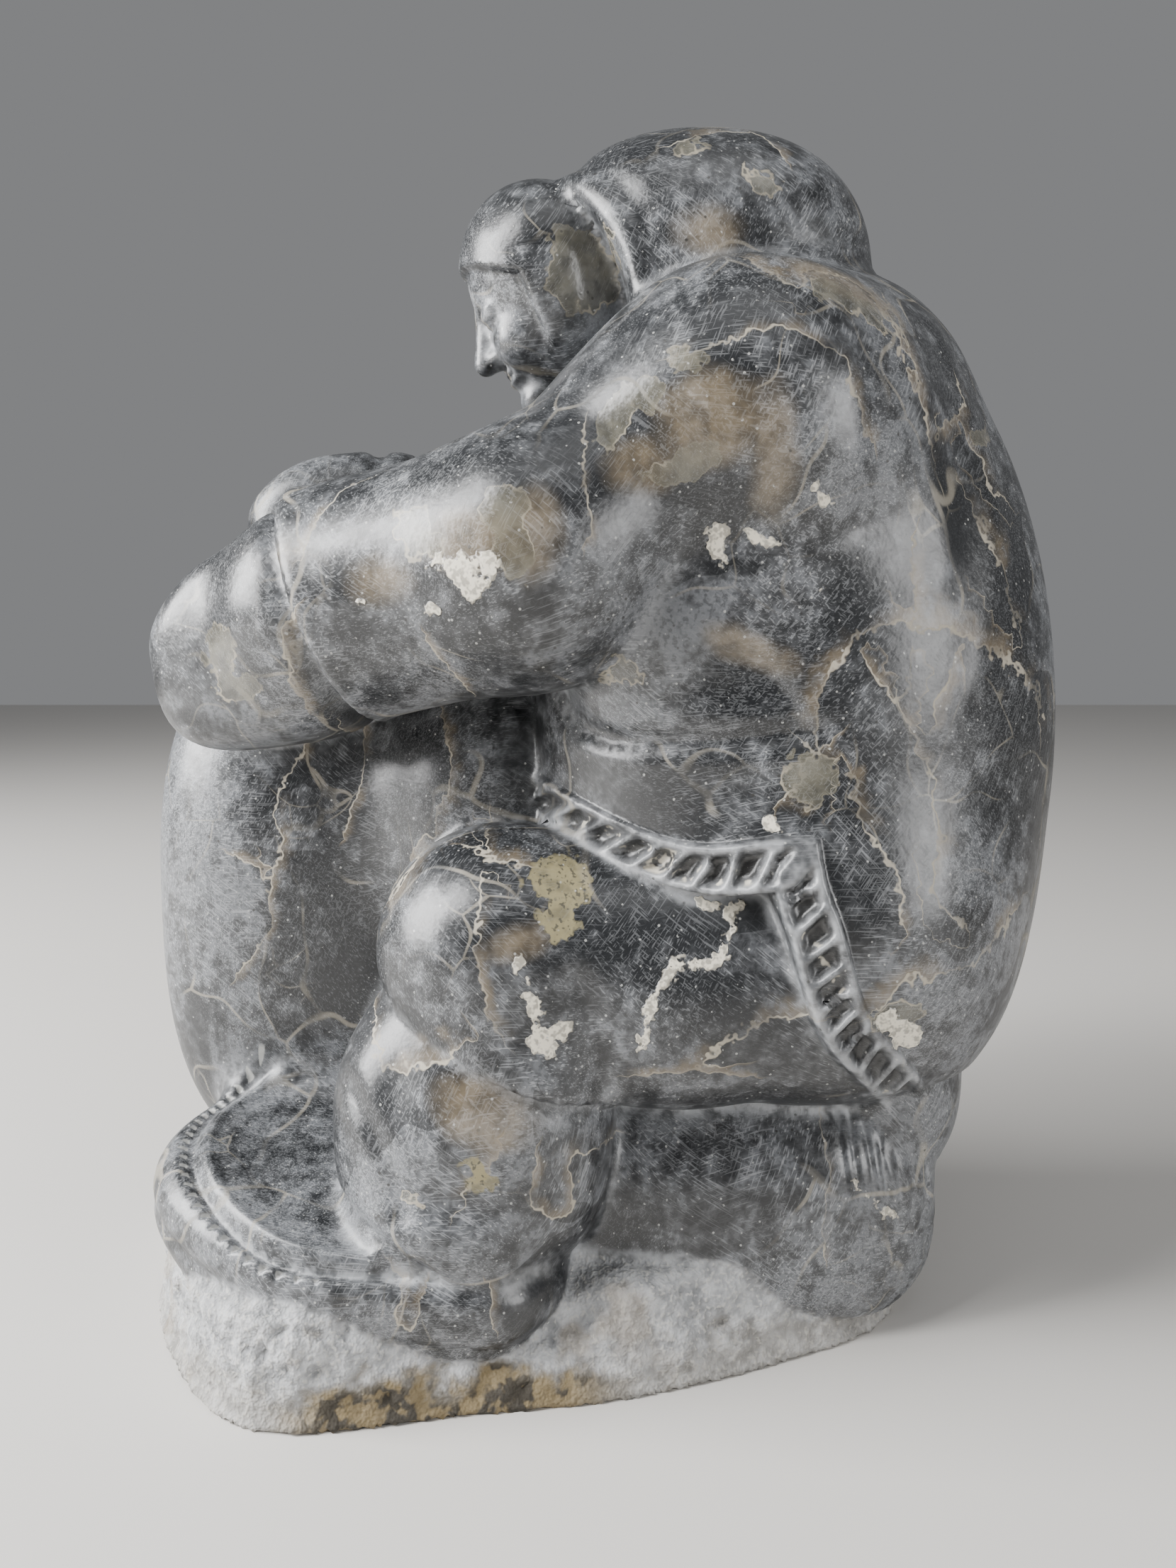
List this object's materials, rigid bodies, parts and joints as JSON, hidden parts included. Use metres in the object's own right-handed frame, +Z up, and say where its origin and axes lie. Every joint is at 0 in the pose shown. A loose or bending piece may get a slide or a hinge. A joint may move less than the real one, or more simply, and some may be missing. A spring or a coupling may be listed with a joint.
{
  "type": "soapstone carving of a seated hunter",
  "caption": "Carved dark soapstone hunter in a hooded parka, seated with bowed head and mittens resting on a raised knee, on a rough stone base.",
  "frame": {"origin": "middle of the flat underside, on the surface that the stone stands on", "axes": "+Z up, -Y the way the figure faces, +X the figure's left side"},
  "size_m": [0.208, 0.3196, 0.39],
  "materials": {
    "soapstone": "satin"
  },
  "bodies": {
    "root": {"carved_hunter": "soapstone"}
  },
  "joints": []
}
